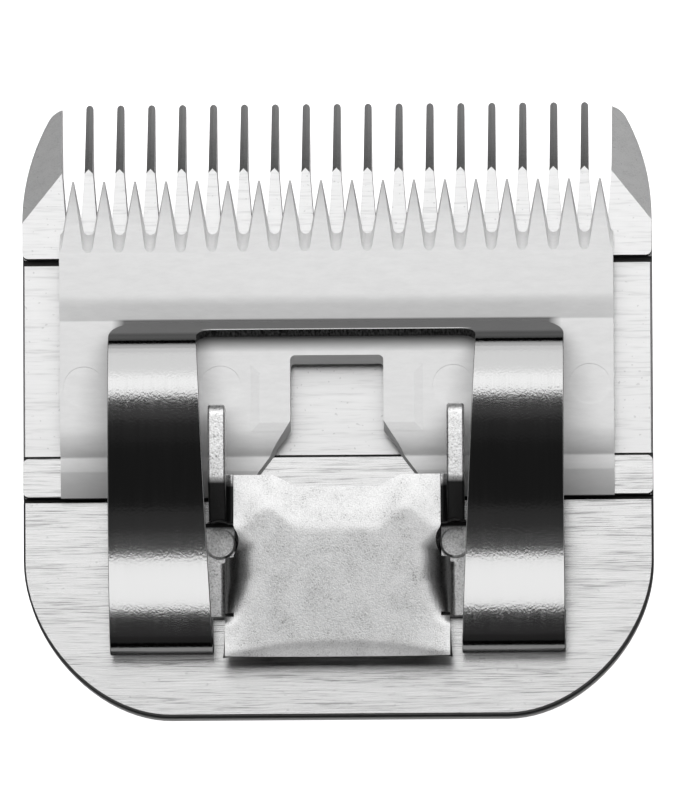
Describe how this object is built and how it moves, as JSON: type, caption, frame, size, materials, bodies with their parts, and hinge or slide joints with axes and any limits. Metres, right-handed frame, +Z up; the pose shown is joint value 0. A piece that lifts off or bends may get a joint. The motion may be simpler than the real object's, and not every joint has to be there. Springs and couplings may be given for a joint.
{
  "type": "hair clipper blade",
  "caption": "Detachable hair clipper blade: a toothed steel comb, a white ceramic cutter that slides across it under a bent leaf spring, and a stamped socket for the clipper's tongue.",
  "frame": {"origin": "under the middle of the part's box, on the flat underside of the comb", "axes": "+X across the teeth, +Y the way the teeth point, +Z up from the underside towards the spring"},
  "size_m": [0.0494, 0.0486, 0.0133],
  "materials": {
    "ground_steel": "brushed across the teeth, rails lapped",
    "white_ceramic": "smooth moulded",
    "spring_steel": "polished",
    "plated_steel": "plated, slightly speckled",
    "screw_steel": "plain"
  },
  "bodies": {
    "base": {"comb": "ground_steel", "tension_spring": "spring_steel", "socket": "plated_steel", "screws": "screw_steel"},
    "cutter": {"cutter": "white_ceramic"}
  },
  "joints": [
    {"name": "cutter_stroke", "type": "slide", "parent": "base", "child": "cutter", "axis": [1, 0, 0], "range_m": [-0.0012, 0.0012]}
  ]
}
